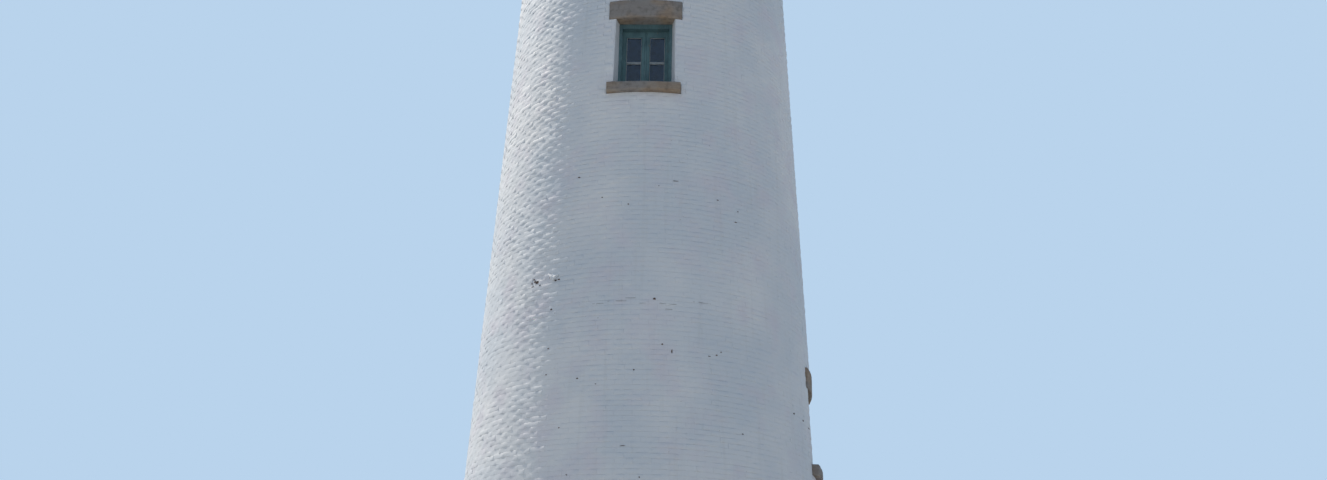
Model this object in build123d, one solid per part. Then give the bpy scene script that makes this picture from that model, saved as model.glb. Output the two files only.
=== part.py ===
from build123d import *
import os
from math import cos, hypot, radians, sin, sqrt

# All sizes are in millimetres. The origin is on the tower's axis at ground level and +Z is up.
# The front window faces -Y, the lower window faces +X and the entry door faces +Y.

# Painted brick shaft, a hollow cone whose faces lean in as they rise
ground_radius = 2748.0
outer_batter = 0.0483
ground_wall = 610.0
inner_batter = 0.0386
brick_course = 68.5
lower_lift_top = 5000.0
middle_lift_top = 10000.0
shaft_top = 14750.0

# Stone plinth, floor and threshold
plinth_height = 600.0
plinth_projection = 100.0
plinth_wash = 80.0
floor_level = 160.0

# Casement windows with a splayed brick reveal
window_height = 1085.0
window_face_width = 880.0
window_frame_width = 800.0
window_nib = 15.0
window_reveal = 200.0
window_frame_depth = 140.0
window_frame_stile = 65.0
window_frame_head = 75.0
window_frame_foot = 30.0
casement_setback = 90.0
casement_thickness = 45.0
casement_stile = 57.0
casement_top_rail = 94.0
casement_foot_rail = 60.0
casement_gap = 3.0
glass_thickness = 4.0
front_sill_level = 10810.0
right_sill_level = 5735.0
back_sill_level = 10810.0
right_window_turn = 5.0

# Sandstone lintels and sills
lintel_height = 295.0
lintel_width = 1056.0
lintel_projection = 25.0
sill_height = 152.0
sill_width = 1056.0
sill_projection = 100.0
sill_wash = 12.0

# Entry door
door_height = 2100.0
door_face_width = 1040.0
door_frame_width = 960.0
door_reveal = 200.0
door_frame_depth = 120.0
door_frame_stile = 80.0
door_setback = 40.0
door_thickness = 50.0
door_rail = 120.0
door_lock_rail = 180.0
door_lock_level = 900.0
door_panel_recess = 12.0
door_bottom_gap = 6.0
door_lintel_width = 1300.0

# Belt course and frieze below the gallery
belt_courses = 3
lower_belt_step = 30.0
upper_belt_step = 90.0
frieze_height = 1150.0

# Iron gallery: deck, brackets and railing
deck_radius = 2780.0
deck_thickness = 60.0
deck_nosing = 45.0
bracket_count = 16
bracket_margin = 60.0
bracket_web = 30.0
bracket_plate = 16.0
bracket_plate_width = 100.0
bracket_rib = 46.0
bracket_foot = 70.0
bracket_tip = 95.0
roundel_band = 18.0
roundel_bite = 4.0
post_inset = 110.0
post_diameter = 38.0
post_foot_diameter = 110.0
post_foot_height = 18.0
post_height = 1060.0
post_ball_diameter = 76.0
rail_diameter = 30.0
low_rail_level = 340.0
middle_rail_level = 680.0
top_rail_level = 1020.0

# Ten-sided iron lantern
lantern_sides = 10
lantern_radius = 1500.0
mullion_width = 60.0
mullion_depth = 90.0
parapet_height = 1200.0
parapet_thickness = 30.0
parapet_setback = 30.0
parapet_margin = 110.0
parapet_relief = 12.0
lantern_sill_height = 70.0
lantern_sill_depth = 190.0
lantern_sill_nose = 63.0
lantern_sill_lip = 23.0
lantern_glass_height = 1410.0
lantern_glass_thickness = 10.0
gallery_door_width = 620.0
gallery_door_height = 1060.0
gallery_door_thickness = 22.0
cornice_height = 170.0
cornice_steps = 3
cornice_step = 45.0
cornice_margin = 30.0
cornice_width = 210.0
eaves_overhang = 60.0
eaves_height = 40.0
roof_rise = 700.0
roof_plate = 30.0
roof_bearing = 120.0
roof_top_radius = 240.0
hip_roll_diameter = 46.0

# Ventilator ball and rod
vent_collar_height = 60.0
vent_neck_diameter = 240.0
vent_neck_height = 130.0
vent_ball_diameter = 460.0
rod_socket_diameter = 70.0
rod_socket_height = 40.0
rod_diameter = 26.0
rod_height = 620.0
rod_point = 90.0

# How finely a bracket's curve is measured, and how often a bracket's radius is halved towards its fit
curve_samples = 96
halvings = 40

# Levels and radii that follow from the sizes above
inner_ground_radius = ground_radius - ground_wall
shaft_top_radius = ground_radius - outer_batter * shaft_top
gallery_level = shaft_top + frieze_height
deck_top = gallery_level + deck_thickness
belt_top = shaft_top + belt_courses * brick_course
bracket_reach = deck_radius - deck_nosing - bracket_margin - shaft_top_radius
parapet_top = deck_top + parapet_height
glass_bottom = parapet_top + lantern_sill_height
mullion_top = glass_bottom + lantern_glass_height
cornice_top = mullion_top + cornice_height
roof_top = cornice_top + eaves_height + roof_rise
far = 2 * ground_radius
on_base = (Align.CENTER, Align.CENTER, Align.MIN)
side_angles = {"front": -90.0, "right": 0.0, "back": 90.0, "left": 180.0}
window_bearings = {"front": -90.0, "right": -right_window_turn, "back": 90.0}


def outer_radius(level):
    return ground_radius - outer_batter * level


def inner_radius(level):
    return inner_ground_radius - inner_batter * level


def ring(points, start=0.0, sweep=360.0):
    """Turn an outline of (radius, level) points about the tower's axis."""
    outline = Plane.XZ * make_face(Polyline(*points, close=True))
    return Rot(0, 0, start) * revolve(outline, Axis.Z, sweep)


def slab(x_low, x_high, width, z_low, z_high):
    """A block centred on the XZ plane."""
    size_x = x_high - x_low
    return Pos((x_low + x_high) / 2, 0, (z_low + z_high) / 2) * Box(size_x, width, z_high - z_low)


def save(shape, name):
    export_step(shape, f"parts/{name}.step")


def around(shape, count, start=0.0):
    """Copies of one piece, evenly spaced about the axis."""
    return [Rot(0, 0, start + 360.0 * index / count) * shape for index in range(count)]


# Every opening is made facing +X and then turned to its own side
def opening_void(level, height, frame_x, frame_width, face_width, nib):
    """The hole in the wall: straight behind the frame's face, splayed in front of it."""
    face_x = outer_radius(level + height / 2)
    inner = frame_width / 2
    nib_half = inner - nib
    splay = (face_width / 2 - nib_half) / (face_x - frame_x)
    far_half = nib_half + splay * (far - frame_x)
    start = inner_radius(level + height) / 2
    behind = slab(start, frame_x, frame_width, level, level + height)
    corners = [(frame_x, -nib_half), (far, -far_half), (far, far_half), (frame_x, nib_half)]
    mouth = make_face(Polyline(*corners, close=True))
    return behind + Pos(0, 0, level) * extrude(mouth, height)


def stone_pocket(low, high, width, back_x):
    return slab(back_x, far, width, low, high)


def stone_block(low, high, width, back_x, face_radius):
    """A stone with its front cut to the curve of the wall."""
    drum = Pos(0, 0, low) * Cylinder(face_radius, high - low, align=on_base)
    return stone_pocket(low, high, width, back_x) & drum


def make_window(side, level):
    """Save one window's pieces and return its hole, pockets and glass."""
    turn = Rot(0, 0, window_bearings[side])
    top = level + window_height
    frame_x = outer_radius(top) - window_reveal
    back_x = frame_x - window_frame_depth
    void = opening_void(level, window_height, frame_x, window_frame_width, window_face_width, window_nib)
    lintel_pocket = stone_pocket(top, top + lintel_height, lintel_width, back_x)
    sill_pocket = stone_pocket(level - sill_height, level, sill_width, back_x)
    lintel_face = outer_radius(top) + lintel_projection
    sill_face = outer_radius(level) + sill_projection
    lintel = stone_block(top, top + lintel_height, lintel_width, back_x, lintel_face)
    save(turn * lintel, f"{side}_window_lintel")

    # The sill's top slopes down to the front between the jambs, and stays level under them
    wash = Plane.XZ * make_face(Polyline(
        (frame_x, level),
        (sill_face, level),
        (sill_face, level - sill_wash),
        close=True,
    ))
    sill = stone_block(level - sill_height, level, sill_width, back_x, sill_face)
    sill -= extrude(wash, window_frame_width / 2 - window_nib, both=True)
    save(turn * sill, f"{side}_window_sill")

    light_half = window_frame_width / 2 - window_frame_stile
    light_low = level + window_frame_foot
    light_high = top - window_frame_head
    frame = slab(back_x, frame_x, window_frame_width, level, top)
    frame -= slab(back_x, frame_x, 2 * light_half, light_low, light_high)
    save(turn * frame, f"{side}_window_frame")

    leaf_x = frame_x - casement_setback
    leaf_width = light_half - casement_gap / 2
    leaf_y = (light_half + casement_gap / 2) / 2
    pane_width = leaf_width - 2 * casement_stile
    pane_low = light_low + casement_foot_rail
    pane_high = light_high - casement_top_rail
    leaf = slab(leaf_x - casement_thickness, leaf_x, leaf_width, light_low, light_high)
    leaf -= slab(leaf_x - casement_thickness, leaf_x, pane_width, pane_low, pane_high)
    pane_x = leaf_x - (casement_thickness - glass_thickness) / 2
    pane = slab(pane_x - glass_thickness, pane_x, pane_width, pane_low, pane_high)
    leaves = [turn * Pos(0, y, 0) * leaf for y in (-leaf_y, leaf_y)]
    panes = [turn * Pos(0, y, 0) * pane for y in (-leaf_y, leaf_y)]
    save(Compound(leaves), f"{side}_window_casements")
    return [turn * void, turn * lintel_pocket, turn * sill_pocket], panes


def make_door():
    """Save the entry door's pieces and return the holes that it needs."""
    turn = Rot(0, 0, side_angles["back"])
    top = floor_level + door_height
    frame_x = outer_radius(top) - door_reveal
    back_x = frame_x - door_frame_depth
    void = opening_void(0, top, frame_x, door_frame_width, door_face_width, 0)
    lintel_pocket = stone_pocket(top, top + lintel_height, door_lintel_width, back_x)
    lintel_face = outer_radius(top) + lintel_projection
    save(turn * stone_block(top, top + lintel_height, door_lintel_width, back_x, lintel_face), "door_lintel")

    leaf_half = door_frame_width / 2 - door_frame_stile
    leaf_high = top - door_frame_stile
    frame = slab(back_x, frame_x, door_frame_width, floor_level, top)
    frame -= slab(back_x, frame_x, 2 * leaf_half, floor_level, leaf_high)
    save(turn * frame, "door_frame")

    leaf_x = frame_x - door_setback
    leaf_low = floor_level + door_bottom_gap
    leaf = slab(leaf_x - door_thickness, leaf_x, 2 * leaf_half, leaf_low, leaf_high)
    panel_width = (2 * leaf_half - 3 * door_rail) / 2
    panel_y = (panel_width + door_rail) / 2
    lock_low = floor_level + door_lock_level
    panel_rows = ((leaf_low + door_lock_rail, lock_low), (lock_low + door_lock_rail, leaf_high - door_rail))
    for low, high in panel_rows:
        for x in (leaf_x, leaf_x - door_thickness):
            panel = slab(x - door_panel_recess, x + door_panel_recess, panel_width, low, high)
            for y in (-panel_y, panel_y):
                leaf -= Pos(0, y, 0) * panel
    save(turn * leaf, "door_leaf")
    return turn * void, turn * lintel_pocket


def nearest(points, x, y):
    return min(hypot(px - x, py - y) for px, py in points)


def solve(gap, low, high):
    """The value between low and high where gap falls to nought."""
    for _ in range(halvings):
        middle = (low + high) / 2
        if gap(middle) > 0:
            low = middle
        else:
            high = middle
    return low


def make_bracket():
    """Openwork bracket: a wall plate, an arm under the deck, a hollow-curved brace and three roundels.

    It is drawn with x out from the wall and y down from the deck's underside.
    """
    drop = gallery_level - belt_top
    brace_x = bracket_reach - bracket_foot
    brace_y = drop - bracket_tip

    def brace_arc(inset):
        """Quarter ellipse from the tip to the foot, moved towards the wall by inset."""
        return EllipticalCenterArc((bracket_reach, -drop), brace_x + inset, brace_y + inset, 90, arc_size=90)

    def brace_strip(depth):
        """The face between the brace's outer curve and the same curve moved in by depth."""
        outer = brace_arc(0)
        inner = brace_arc(depth)
        return make_face([outer, Line(outer @ 1, inner @ 1), inner, Line(inner @ 0, outer @ 0)])

    # The main roundel touches the plate, the arm and the brace; each small one touches the main one too
    rib_arc = brace_arc(bracket_rib)
    points = [rib_arc @ (step / curve_samples) for step in range(curve_samples + 1)]
    edge = [(point.X, point.Y) for point in points]
    inset = bracket_plate + bracket_rib / 2
    main_radius = solve(lambda r: nearest(edge, inset + r, -inset - r) - r, 1, bracket_reach)
    main_x = inset + main_radius
    main_y = -inset - main_radius

    def lower_centre(r):
        across = main_radius - r
        return inset + r, main_y - sqrt((main_radius + r) ** 2 - across ** 2)

    def outer_centre(r):
        across = main_radius - r
        return main_x + sqrt((main_radius + r) ** 2 - across ** 2), -inset - r

    lower_radius = solve(lambda r: nearest(edge, *lower_centre(r)) - r, 1, main_radius)
    tip_radius = solve(lambda r: nearest(edge, *outer_centre(r)) - r, 1, main_radius)
    roundels = [
        (main_x, main_y, main_radius),
        (*lower_centre(lower_radius), lower_radius),
        (*outer_centre(tip_radius), tip_radius),
    ]
    upright = make_face(Polyline((0, -drop), (inset, -drop), (inset, 0), (0, 0), close=True))
    arm = make_face(Polyline((0, -inset), (bracket_reach, -inset), (bracket_reach, 0), (0, 0), close=True))
    web = upright + arm + brace_strip(bracket_rib)
    for x, y, radius in roundels:
        web = web + Pos(x, y) * (Circle(radius + roundel_bite) - Circle(radius - roundel_band))
    foot_top = bracket_plate - drop
    foot = Polyline((0, -drop), (bracket_foot, -drop), (bracket_foot, foot_top), (0, foot_top), close=True)
    flange = Polyline(
        (0, -drop),
        (bracket_plate, -drop),
        (bracket_plate, -bracket_plate),
        (bracket_reach, -bracket_plate),
        (bracket_reach, 0),
        (0, 0),
        close=True,
    )
    wide = make_face(flange) + make_face(foot) + brace_strip(bracket_plate)
    solid = extrude(web, bracket_web / 2, both=True) + extrude(wide, bracket_plate_width / 2, both=True)
    return Pos(shaft_top_radius, 0, gallery_level) * Rot(90, 0, 0) * solid


os.makedirs("parts", exist_ok=True)

# Windows and door come first, because the walls are cut to suit them
window_levels = {"front": front_sill_level, "right": right_sill_level, "back": back_sill_level}
cutters = {side: [] for side in side_angles}
glass = []
for side, level in window_levels.items():
    holes, panes = make_window(side, level)
    cutters[side] += holes
    glass += panes
save(Compound(glass), "window_glass")
door_void, door_pocket = make_door()
cutters["back"] += [door_void, door_pocket]

# Stone plinth with a sloping top edge, the floor inside it and the threshold between
plinth_radius = ground_radius + plinth_projection
plinth_outline = [
    (inner_radius(0), 0),
    (plinth_radius, 0),
    (plinth_radius, plinth_height - plinth_wash),
    (outer_radius(plinth_height), plinth_height),
    (inner_radius(plinth_height), plinth_height),
]
plinth = ring(plinth_outline)
save(plinth - door_void, "foundation_plinth")
threshold_layer = Pos(0, 0, floor_level / 2) * Box(2 * far, 2 * far, floor_level)
save(plinth & door_void & threshold_layer, "door_threshold")
floor_outline = [(0, 0), (inner_radius(0), 0), (inner_radius(floor_level), floor_level), (0, floor_level)]
save(ring(floor_outline), "ground_floor")

# Brick shaft in three lifts of four quarters
lifts = {
    "lower": (plinth_height, lower_lift_top),
    "middle": (lower_lift_top, middle_lift_top),
    "upper": (middle_lift_top, shaft_top),
}
for lift, (low, high) in lifts.items():
    outline = [
        (inner_radius(low), low),
        (outer_radius(low), low),
        (outer_radius(high), high),
        (inner_radius(high), high),
    ]
    for side, angle in side_angles.items():
        wall = ring(outline, angle - 45, 90)
        for cutter in cutters[side]:
            wall = wall - cutter
        save(wall, f"wall_{lift}_{side}")

# Belt course in two steps, then straight brickwork up to the deck
frieze_outline = [
    (inner_radius(shaft_top), shaft_top),
    (shaft_top_radius + lower_belt_step, shaft_top),
    (shaft_top_radius + lower_belt_step, shaft_top + brick_course),
    (shaft_top_radius + upper_belt_step, shaft_top + brick_course),
    (shaft_top_radius + upper_belt_step, belt_top),
    (shaft_top_radius, belt_top),
    (shaft_top_radius, gallery_level),
    (inner_radius(gallery_level), gallery_level),
]
save(ring(frieze_outline), "brick_frieze")

# Gallery deck with a rounded, deeper rim, and the floor plate inside the lantern
floor_plate_radius = (inner_radius(gallery_level) + lantern_radius) / 2 + mullion_depth
deck_outline = [
    (floor_plate_radius, gallery_level),
    (deck_radius - deck_nosing, gallery_level),
    (deck_radius - deck_nosing, gallery_level - deck_nosing),
    (deck_radius, gallery_level - deck_nosing),
    (deck_radius, deck_top),
    (floor_plate_radius, deck_top),
]
save(ring(deck_outline), "gallery_deck")
floor_plate = Pos(0, 0, gallery_level) * Cylinder(floor_plate_radius, deck_thickness, align=on_base)
save(floor_plate, "lantern_floor")
save(Compound(around(make_bracket(), bracket_count)), "gallery_brackets")

# Railing: a turned post over each bracket, and three rails to a bay
post_ring = deck_radius - post_inset
post_foot = Cylinder(post_foot_diameter / 2, post_foot_height, align=on_base)
post_stem = Cylinder(post_diameter / 2, post_height, align=on_base)
post_ball = Pos(0, 0, post_height) * Sphere(post_ball_diameter / 2)
post = Pos(post_ring, 0, deck_top) * (post_foot + post_stem + post_ball)
save(Compound(around(post, bracket_count)), "railing_posts")
bay_angle = 360.0 / bracket_count
next_post = Rot(0, 0, bay_angle) * post
rail_half = post_ring * sin(radians(bay_angle / 2))
rail_distance = post_ring * cos(radians(bay_angle / 2))
rail_run = Rot(0, 0, bay_angle / 2) * Pos(rail_distance, 0, deck_top) * Rot(90, 0, 0)
rails = []
for level in (low_rail_level, middle_rail_level, top_rail_level):
    rail = rail_run * Pos(0, level, 0) * Cylinder(rail_diameter / 2, 2 * rail_half)
    rails += around(rail - post - next_post, bracket_count)
save(Compound(rails), "railing_rails")

# Lantern frame: ten mullions from the deck to the cornice
side_step = 360.0 / lantern_sides
apothem = lantern_radius * cos(radians(side_step / 2))
mullion = slab(lantern_radius - mullion_depth, lantern_radius, mullion_width, deck_top, mullion_top)
first_side = -90.0
corner_start = first_side + side_step / 2
mullions = around(mullion, lantern_sides, corner_start)
save(Compound(mullions), "lantern_mullions")
side_corners = [Rot(0, 0, turn) * mullion for turn in (-side_step / 2, side_step / 2)]
side_width = 2 * lantern_radius * sin(radians(side_step / 2))


def between_mullions(shape):
    """Trim a piece that faces +X so that it fits between its two mullions."""
    for corner in side_corners:
        shape = shape - corner
    pieces = shape.solids()
    return max(pieces, key=lambda piece: piece.volume)


wall_x = apothem - parapet_setback
panel = slab(wall_x - parapet_thickness, wall_x, side_width, deck_top, parapet_top)
field_width = side_width - mullion_width - 2 * parapet_margin
field_low = deck_top + parapet_margin
field = slab(wall_x - parapet_relief, wall_x, field_width, field_low, parapet_top - parapet_margin)
panel = between_mullions(panel - field)
door_top = deck_top + gallery_door_height
door_way = slab(wall_x - parapet_thickness, wall_x, gallery_door_width, deck_top, door_top)
door_panel = between_mullions(slab(wall_x - parapet_thickness, wall_x, side_width, deck_top, parapet_top))
door_panel = door_panel - door_way
door_turn = Rot(0, 0, side_angles["back"])
panels = around(panel, lantern_sides, first_side)
door_index = lantern_sides // 2
panels[door_index] = door_turn * door_panel
save(Compound(panels), "lantern_wall_panels")
leaf_low = wall_x - (parapet_thickness + gallery_door_thickness) / 2
leaf = slab(leaf_low, leaf_low + gallery_door_thickness, gallery_door_width, deck_top, door_top)
save(door_turn * leaf, "gallery_door")

# Moulded sill under the glass, with a sloping top
sill_front = wall_x + lantern_sill_nose
sill_back = sill_front - lantern_sill_depth
sill_slope = Plane.XZ * make_face(Polyline(
    (sill_back, parapet_top),
    (wall_x, parapet_top),
    (sill_front, parapet_top + lantern_sill_lip),
    (sill_front, glass_bottom - lantern_sill_lip),
    (wall_x, glass_bottom),
    (sill_back, glass_bottom),
    close=True,
))
sill_piece = between_mullions(extrude(sill_slope, side_width / 2, both=True))
save(Compound(around(sill_piece, lantern_sides, first_side)), "lantern_sill")
pane_front = wall_x - (parapet_thickness - lantern_glass_thickness) / 2
pane = slab(pane_front - lantern_glass_thickness, pane_front, side_width, glass_bottom, mullion_top)
save(Compound(around(between_mullions(pane), lantern_sides, first_side)), "lantern_glass")


def decagon(radius, low, high, top_radius=None):
    """A prism or frustum with the lantern's sides; radius is to its corners."""
    lower = Pos(0, 0, low) * Rot(0, 0, corner_start) * RegularPolygon(radius, lantern_sides)
    if top_radius is None:
        return extrude(lower, high - low)
    upper = Pos(0, 0, high) * Rot(0, 0, corner_start) * RegularPolygon(top_radius, lantern_sides)
    return loft([lower, upper])


# Stepped cornice on the mullions, and the roof with a roll on each hip
cornice_foot = lantern_radius + cornice_margin
cornice_inner = cornice_foot - cornice_width
cornice_head = cornice_foot + (cornice_steps - 1) * cornice_step
cornice = Part()
step_height = cornice_height / cornice_steps
for step in range(cornice_steps):
    low = mullion_top + step * step_height
    cornice = cornice + decagon(cornice_foot + step * cornice_step, low, low + step_height)
cornice = cornice - decagon(cornice_inner, mullion_top, cornice_top)
save(cornice, "lantern_cornice")
eaves_radius = cornice_head + eaves_overhang
eaves_top = cornice_top + eaves_height
roof = decagon(eaves_radius, cornice_top, eaves_top)
roof = roof + decagon(eaves_radius, eaves_top, roof_top, roof_top_radius)

# The space under the roof runs parallel to its plates, down to the ring that bears on the cornice
roof_slope = roof_rise / (eaves_radius - roof_top_radius)
plate_drop = roof_plate * sqrt(1 + roof_slope ** 2)
hollow_radius = cornice_inner + roof_bearing
hollow_low = eaves_top + (eaves_radius - hollow_radius) * roof_slope - plate_drop
hollow_top_radius = roof_top_radius - plate_drop
hollow_high = hollow_low + (hollow_radius - hollow_top_radius) * roof_slope
hollow = decagon(hollow_radius, cornice_top, hollow_low)
hollow = hollow + decagon(hollow_radius, hollow_low, hollow_high, hollow_top_radius)
hip_foot = Vector(eaves_radius, 0, eaves_top)
hip_head = Vector(roof_top_radius, 0, roof_top)
hip_line = Line(hip_foot, hip_head)
hip_roll = sweep(Plane(origin=hip_foot, z_dir=hip_head - hip_foot) * Circle(hip_roll_diameter / 2), hip_line)
roof = roof - hollow
for roll in around(hip_roll, lantern_sides, corner_start):
    roof = roof + roll
save(roof, "lantern_roof")

# Ventilator: collar on the roof's top, neck, ball and rod
collar_top = roof_top + vent_collar_height
neck_top = collar_top + vent_neck_height
ball_radius = vent_ball_diameter / 2
neck_radius = vent_neck_diameter / 2
ball_centre = neck_top + sqrt(ball_radius ** 2 - neck_radius ** 2)
collar_outline = [
    (0, roof_top),
    (roof_top_radius, roof_top),
    (neck_radius, collar_top),
    (neck_radius, neck_top),
    (0, neck_top),
]
ball = Pos(0, 0, ball_centre) * Sphere(ball_radius)
ball_top = ball_centre + ball_radius
socket_top = ball_top + rod_socket_height
rod_top = ball_top + rod_height
rod_outline = [
    (0, ball_centre),
    (rod_socket_diameter / 2, ball_centre),
    (rod_socket_diameter / 2, socket_top),
    (rod_diameter / 2, socket_top),
    (rod_diameter / 2, rod_top - rod_point),
    (0, rod_top),
]
save(ring(collar_outline) + ball + ring(rod_outline), "roof_ventilator")
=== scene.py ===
import math
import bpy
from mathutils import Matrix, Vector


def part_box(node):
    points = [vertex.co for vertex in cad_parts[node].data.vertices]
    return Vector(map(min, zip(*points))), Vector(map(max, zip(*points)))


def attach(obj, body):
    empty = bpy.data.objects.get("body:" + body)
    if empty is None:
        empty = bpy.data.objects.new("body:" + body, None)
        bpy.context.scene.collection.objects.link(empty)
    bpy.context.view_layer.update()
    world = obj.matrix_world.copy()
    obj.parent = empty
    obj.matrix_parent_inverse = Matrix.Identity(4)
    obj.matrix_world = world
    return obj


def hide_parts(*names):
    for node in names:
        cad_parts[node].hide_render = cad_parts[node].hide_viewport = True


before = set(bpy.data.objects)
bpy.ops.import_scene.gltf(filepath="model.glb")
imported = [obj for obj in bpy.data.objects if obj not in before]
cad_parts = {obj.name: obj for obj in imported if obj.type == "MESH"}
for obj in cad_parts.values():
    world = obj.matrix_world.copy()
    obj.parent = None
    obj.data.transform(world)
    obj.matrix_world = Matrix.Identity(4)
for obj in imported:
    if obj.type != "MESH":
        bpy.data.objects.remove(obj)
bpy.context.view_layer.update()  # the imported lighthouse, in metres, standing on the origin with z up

from types import SimpleNamespace
import bmesh
import bpy
import numpy as np
from mathutils import Matrix, Vector, noise

mm = 0.001
sideTurns = {"front": -90, "right": -5, "back": 90}  # each side is worked facing +X, then turned
rng = np.random.default_rng(1879)
print("frame loaded:", len(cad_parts), "nodes")


# Colours and nodes

mixFactor, mixFrom, mixTo = 0, 6, 7  # sockets of a mix node that mixes colours


def hexColour(code):
    # screen hex to the linear values that a shader wants
    channels = [int(code[i:i + 2], 16) / 255 for i in (1, 3, 5)]
    linear = [c / 12.92 if c <= 0.04045 else ((c + 0.055) / 1.055) ** 2.4 for c in channels]
    return (*linear, 1.0)


def addNode(tree, kind, sockets, **settings):
    # one node: settings are its own properties, sockets take a value or another node's output
    node = tree.nodes.new(kind)
    for name, value in settings.items():
        setattr(node, name, value)
    for name, value in sockets.items():
        if isinstance(value, bpy.types.NodeSocket):
            tree.links.new(value, node.inputs[name])
        else:
            node.inputs[name].default_value = value
    return node.outputs


def maskOf(tree, place, source, low, high, most, stretch=1.0, detail=2.0):
    # rises from low to high: in soft spots of a size in mm, in level, or in how far a face looks up
    if source == "level":
        value = addNode(tree, "ShaderNodeSeparateXYZ", {"Vector": place})[2]
    elif source == "lookingUp":
        facing = addNode(tree, "ShaderNodeNewGeometry", {})["Normal"]
        value = addNode(tree, "ShaderNodeSeparateXYZ", {"Vector": facing})[2]
    else:
        where = addNode(tree, "ShaderNodeMapping", {"Vector": place, "Scale": (1, 1, stretch)})[0]
        value = addNode(tree, "ShaderNodeTexNoise", {
            "Vector": where, "Scale": 1 / (source * mm), "Detail": detail})[0]
    return addNode(tree, "ShaderNodeMapRange", {
        "Value": value, "From Min": low, "From Max": high, "To Max": most})[0]


def makeMaterial(name, look):
    # thin coats over a ground colour, relief too fine to model, and gloss; what is the same all
    # over the surface stays on the shader's own sockets
    material = bpy.data.materials.new(name)
    material.use_nodes = True
    tree = material.node_tree
    shader = tree.nodes["Principled BSDF"]
    for socket, value in look["constants"].items():
        shader.inputs[socket].default_value = value
    place = addNode(tree, "ShaderNodeTexCoord", {})["Object"]
    colour = hexColour(look["ground"])
    for source, low, high, most, code, *form in look["coats"]:
        mask = maskOf(tree, place, source, low, high, most, *form)
        colour = addNode(tree, "ShaderNodeMix", {
            mixFactor: mask, mixFrom: colour, mixTo: hexColour(code)}, data_type="RGBA")[2]
    tree.links.new(colour, shader.inputs["Base Color"])
    along = place
    if "reliefStretch" in look:
        along = addNode(tree, "ShaderNodeMapping", {
            "Vector": place, "Scale": (1, 1, look["reliefStretch"])})[0]
    normal = None
    for size, height in look.get("relief", []):
        grain = addNode(tree, "ShaderNodeTexNoise", {
            "Vector": along, "Scale": 1 / (size * mm), "Detail": 3.0})[0]
        sockets = {"Height": grain, "Strength": 1.0, "Distance": height * mm}
        if normal is not None:
            sockets["Normal"] = normal
        normal = addNode(tree, "ShaderNodeBump", sockets)[0]
    if normal is not None:
        tree.links.new(normal, shader.inputs["Normal"])
    if "duller" in look:
        patches = maskOf(tree, place, *look["duller"])
        rough = addNode(tree, "ShaderNodeMath", {0: patches, 1: look["roughness"]}, operation="ADD")[0]
        tree.links.new(rough, shader.inputs["Roughness"])
    return material


# Materials

# a coat lists its spot size in mm, where its mask starts and is full, its most, its colour and, where
# they aren't 1 and 2, its upright stretch and its detail; relief lists grain sizes and heights in mm;
# duller is a mask that adds to the roughness

# old lime and oil paint brushed thickly over brick: chalky, softly lumpy, never quite one white
whitewashedBrick = makeMaterial("whitewashedBrick", {
    "constants": {"Roughness": 0.62, "Specular IOR Level": 0.3}, "ground": "#E4E7EA",
    "coats": [
        (1300, 0.38, 0.62, 1.0, "#D6DDE4", 1, 3.0),  # cool patches
        (450, 0.5, 0.72, 0.6, "#DCD9E2"),  # lilac patches
        (85, 0.56, 0.8, 0.14, "#B4B3AC", 0.035),  # rain runs
        (38, 0.76, 0.8, 0.5, "#7F7A72"),  # specks of dirt
    ],
    "relief": [(70, 2.0), (24, 0.9), (4, 0.2)],
})
# the same paint where it lies in mortar joints, dusty and darker
jointPaint = {
    "constants": {"Roughness": 0.75, "Specular IOR Level": 0.2}, "ground": "#D9DDE1",
    "coats": [(260, 0.45, 0.75, 0.45, "#ABABA6")], "relief": [(9, 1.2)],
}
paintedJoint = makeMaterial("paintedJoint", jointPaint)
# and where it has cracked
crackedPaint = makeMaterial("crackedPaint", {
    **jointPaint, "ground": "#A4A7A8", "coats": [(120, 0.45, 0.75, 0.8, "#77756F")],
})
# fired clay where the paint has flaked: dull, grainy, dark with soot
bareFiredBrick = makeMaterial("bareFiredBrick", {
    "constants": {"Roughness": 0.9, "Specular IOR Level": 0.2}, "ground": "#75625A",
    "coats": [
        (30, 0.4, 0.6, 0.9, "#45403F"),  # soot
        (14, 0.6, 0.7, 0.5, "#8F8A82"),  # old mortar
    ],
    "relief": [(6, 1.5)],
})
# brown sandstone, sawn and long weathered: sandy grain, level beds, blue-grey dirt in patches, and on
# faces that look up a blue-grey that is partly dirt and partly painted sky light
sawnSandstone = makeMaterial("sawnSandstone", {
    "constants": {"Roughness": 0.88, "Specular IOR Level": 0.25}, "ground": "#9E8D7B",
    "coats": [
        (260, 0.4, 0.62, 0.55, "#86705F", 5),  # iron stain
        (120, 0.5, 0.7, 0.45, "#B0A08C", 8),  # pale beds
        (420, 0.42, 0.6, 0.55, "#878C91"),  # slate-grey dirt
        # partly dirt, partly painted sky light: the more a face looks up, the more it turns blue-grey,
        # while faces that look down stay brown
        ("lookingUp", -0.2, 0.7, 0.6, "#878C91"),
        (60, 0.5, 0.78, 0.6, "#59554F", 1, 6.0),  # soot
    ],
    "relief": [(22, 2.0), (3, 0.5)],
})
# limestone dressed with a wide chisel: upright tool marks, pores, soil splashed up from the ground
tooledLimestone = makeMaterial("tooledLimestone", {
    "constants": {"Roughness": 0.86, "Specular IOR Level": 0.3}, "ground": "#BAB4A6",
    "coats": [
        (500, 0.4, 0.6, 0.7, "#A3A098"),  # cooler blocks of colour
        (34, 0.64, 0.68, 0.45, "#C9C6A4"),  # lichen
        ("level", 0.4, 0.0, 0.5, "#7D7364"),  # soil, up to 0.4 m
        (180, 0.5, 0.7, 0.4, "#7D7364"),
        (9, 0.62, 0.68, 0.6, "#77736A"),  # pores
    ],
    "relief": [(14, 3.0), (5, 1.0)], "reliefStretch": 0.22,
})
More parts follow.
